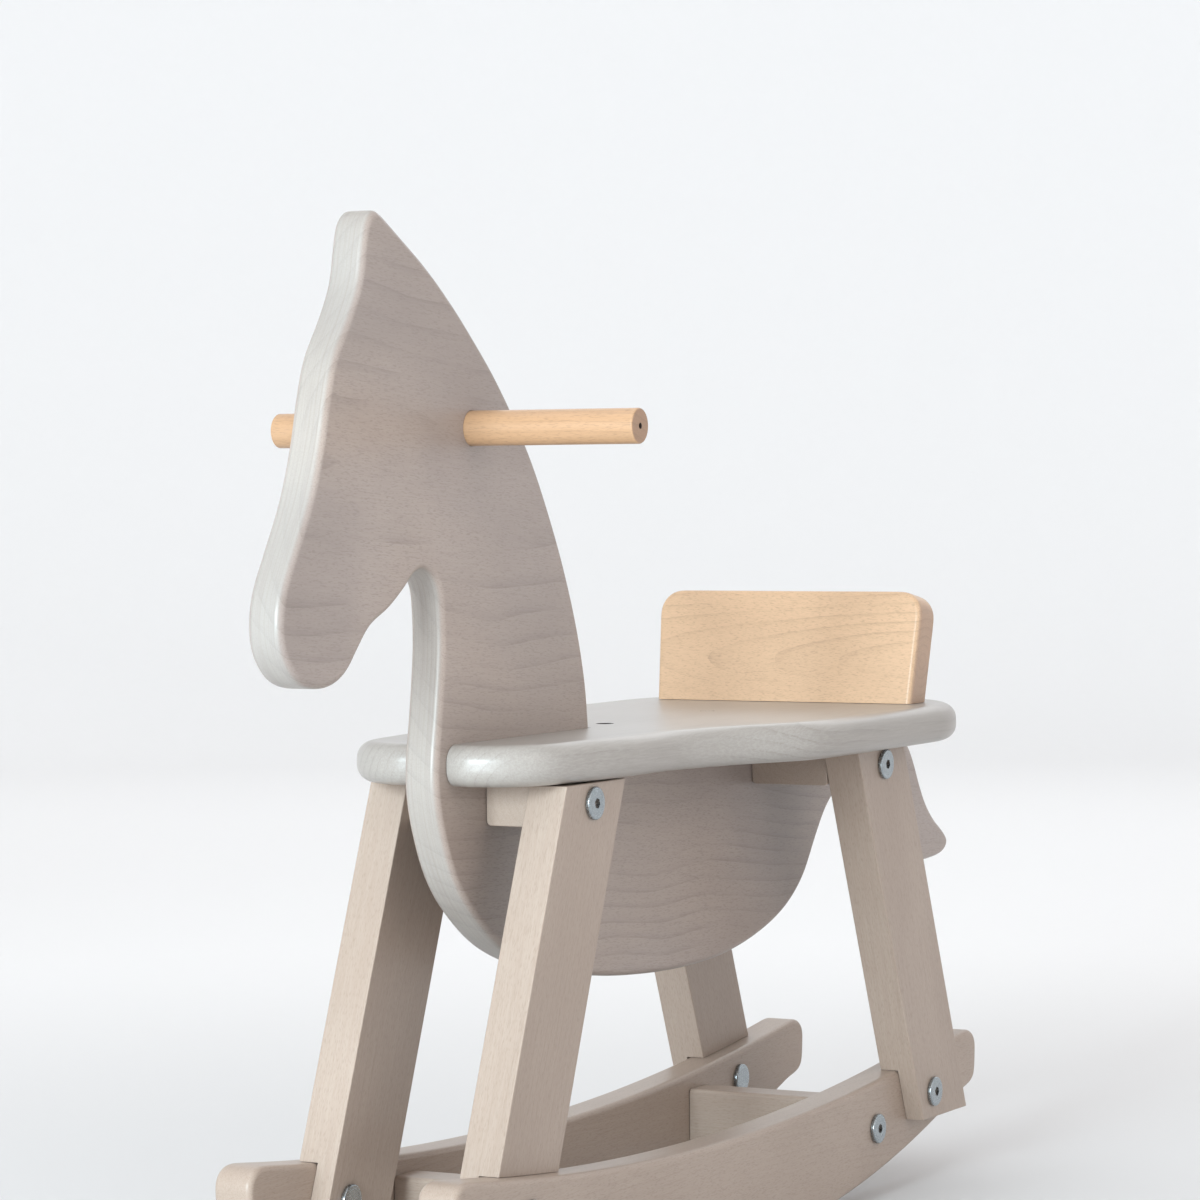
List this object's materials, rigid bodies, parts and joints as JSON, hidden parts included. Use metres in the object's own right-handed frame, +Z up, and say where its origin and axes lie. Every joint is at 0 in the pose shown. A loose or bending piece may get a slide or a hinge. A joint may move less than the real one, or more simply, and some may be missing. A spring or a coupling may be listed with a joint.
{
  "type": "rocking horse",
  "caption": "Wooden rocking horse with a flat silhouette body, a seat with a low backrest, a grip bar through the head and leaning legs on curved rockers.",
  "frame": {"origin": "on the floor, below the centre of the horse's bounding box, with the horse standing level on its rockers", "axes": "+Z is up; the horse faces -Y, with its tail towards +Y; +X points to the horse's left side; X is the normal of the mirror plane"},
  "size_m": [0.262, 0.9517, 0.676],
  "materials": {
    "stained_plywood": "satin",
    "stained_seat": "satin",
    "stained_beech": "satin",
    "natural_beech": "satin",
    "zinc_steel": "satin"
  },
  "bodies": {
    "root": {"body_board": "stained_plywood", "seat_board": "stained_seat", "backrest": "natural_beech", "handle_rod": "natural_beech", "rocker_left": "stained_beech", "rocker_right": "stained_beech", "front_leg_left": "stained_beech", "front_leg_right": "stained_beech", "front_block_left": "stained_beech", "front_block_right": "stained_beech", "front_leg_bolt_left": "zinc_steel", "front_leg_bolt_right": "zinc_steel", "front_leg_sleeve_nut": "zinc_steel", "front_rocker_bolt_left": "zinc_steel", "front_rocker_bolt_right": "zinc_steel", "front_rocker_nut_left": "zinc_steel", "front_rocker_nut_right": "zinc_steel", "front_rocker_pin_left": "natural_beech", "front_rocker_pin_right": "natural_beech", "rear_leg_left": "stained_beech", "rear_leg_right": "stained_beech", "rear_block_left": "stained_beech", "rear_block_right": "stained_beech", "rear_leg_bolt_left": "zinc_steel", "rear_leg_bolt_right": "zinc_steel", "rear_leg_sleeve_nut": "zinc_steel", "rear_rocker_bolt_left": "zinc_steel", "rear_rocker_bolt_right": "zinc_steel", "rear_rocker_nut_left": "zinc_steel", "rear_rocker_nut_right": "zinc_steel", "rear_rocker_pin_left": "natural_beech", "rear_rocker_pin_right": "natural_beech", "front_rail": "stained_beech", "front_rail_bolt_left": "zinc_steel", "front_rail_bolt_right": "zinc_steel", "front_rail_nut_left": "zinc_steel", "front_rail_nut_right": "zinc_steel", "rear_rail": "stained_beech", "rear_rail_bolt_left": "zinc_steel", "rear_rail_bolt_right": "zinc_steel", "rear_rail_nut_left": "zinc_steel", "rear_rail_nut_right": "zinc_steel", "front_block_screw_left": "zinc_steel", "front_block_screw_right": "zinc_steel", "rear_block_screw_left": "zinc_steel", "rear_block_screw_right": "zinc_steel", "backrest_screw_left": "zinc_steel", "backrest_screw_right": "zinc_steel", "seat_screw_front": "zinc_steel", "seat_screw_rear": "zinc_steel", "seat_plug": "stained_seat"}
  },
  "joints": []
}
